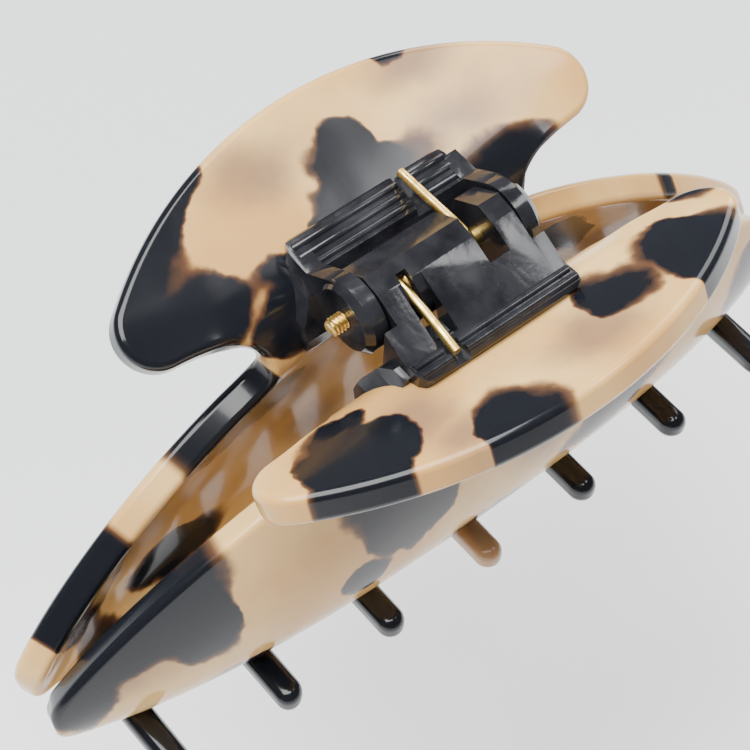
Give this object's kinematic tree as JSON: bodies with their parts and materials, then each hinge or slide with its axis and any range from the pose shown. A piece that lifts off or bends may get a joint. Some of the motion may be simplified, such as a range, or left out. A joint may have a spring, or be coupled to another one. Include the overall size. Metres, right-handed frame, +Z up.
{
  "type": "claw hair clip",
  "caption": "Spring-loaded claw hair clip: two curved toothed jaws with crescent thumb tabs turn on a screw hinge and hold gathered hair.",
  "frame": {"origin": "middle of the clip in plan, at the height of the surface its teeth stand on; the hinge axis is 45.8 mm above", "axes": "+X along the hinge axis towards the screw's domed head, +Y towards the far jaw, +Z up from the teeth to the thumb tabs"},
  "size_m": [0.111, 0.0534, 0.0514],
  "materials": {
    "acetate": "gloss",
    "hinge_plastic": "gloss",
    "screw_brass": "bright",
    "spring_brass": "bright"
  },
  "bodies": {
    "far_half": {"far_jaw": "acetate", "far_hinge_leaf": "hinge_plastic", "hinge_screw": "screw_brass", "torsion_spring": "spring_brass"},
    "near_half": {"near_jaw": "acetate", "near_hinge_leaf": "hinge_plastic"}
  },
  "joints": [
    {"name": "clip_hinge", "type": "hinge", "parent": "far_half", "child": "near_half", "pos_m": [0, 0, 0.0458], "axis": [-1, 0, 0], "range_deg": [0, 90], "stiffness_Nm_per_rad": 0.2, "springref_deg": -45.84, "deforming": ["torsion_spring"]}
  ]
}
